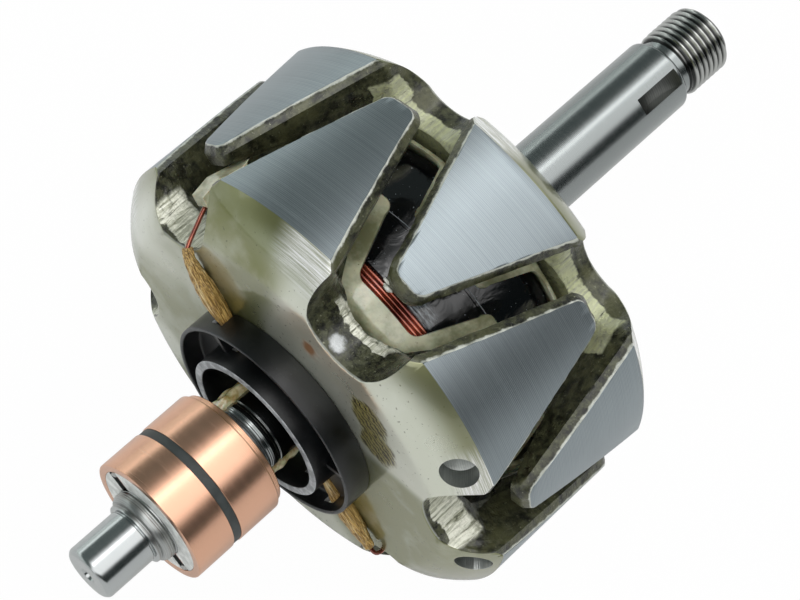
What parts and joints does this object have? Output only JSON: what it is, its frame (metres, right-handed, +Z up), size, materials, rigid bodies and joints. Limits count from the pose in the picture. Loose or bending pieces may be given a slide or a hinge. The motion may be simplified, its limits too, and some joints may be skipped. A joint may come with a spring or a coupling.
{
  "type": "claw-pole alternator rotor",
  "caption": "Claw-pole alternator rotor: two forged steel halves with interlocking tapered fingers round a field coil, on a shaft with copper slip rings, a key slot and a threaded drive end.",
  "frame": {"origin": "on the shaft's axis, at the outer face of the drive-side pole half, where the drive-end bearing seat starts", "axes": "+Y along the shaft, out through the drive seat and the thread; +Z up and +X across it, with angles about Y counted from +X towards +Z"},
  "size_m": [0.1054, 0.1804, 0.1054],
  "materials": {
    "shaft_steel": "cylindrically ground steel, fine lines round the shaft",
    "pole_steel": "ground outside with fine lines round it, rough dark forged flanks, pale varnish on the plate",
    "core_iron": "turned mild steel, hidden inside the coil",
    "former_plastic": "cream moulded nylon, slightly translucent",
    "enamelled_copper": "dark red enamelled copper wire",
    "wrap_film": "glossy black insulating wrap",
    "carrier_plastic": "dark grey moulded phenolic",
    "ring_copper": "turned and polished copper",
    "cup_plastic": "black moulded nylon with a worn grey rim",
    "woven_sleeve": "varnished glass-fibre sleeve, golden brown",
    "resin": "pale amber impregnating resin",
    "solder": "dull tin solder"
  },
  "bodies": {
    "root": {"shaft": "shaft_steel", "pole_slip_end": "pole_steel", "pole_drive_end": "pole_steel", "pole_core": "core_iron", "coil_former": "former_plastic", "field_winding": "enamelled_copper", "coil_wrap": "wrap_film", "slip_ring_carrier": "carrier_plastic", "slip_ring_outer": "ring_copper", "slip_ring_inner": "ring_copper", "ring_strip": "ring_copper", "lead_cup": "cup_plastic", "lead_start": "enamelled_copper", "lead_finish": "enamelled_copper", "sleeve_start": "woven_sleeve", "sleeve_finish": "woven_sleeve", "channel_resin_start": "resin", "channel_resin_finish": "resin", "solder_outer": "solder", "solder_inner": "solder"}
  },
  "joints": []
}
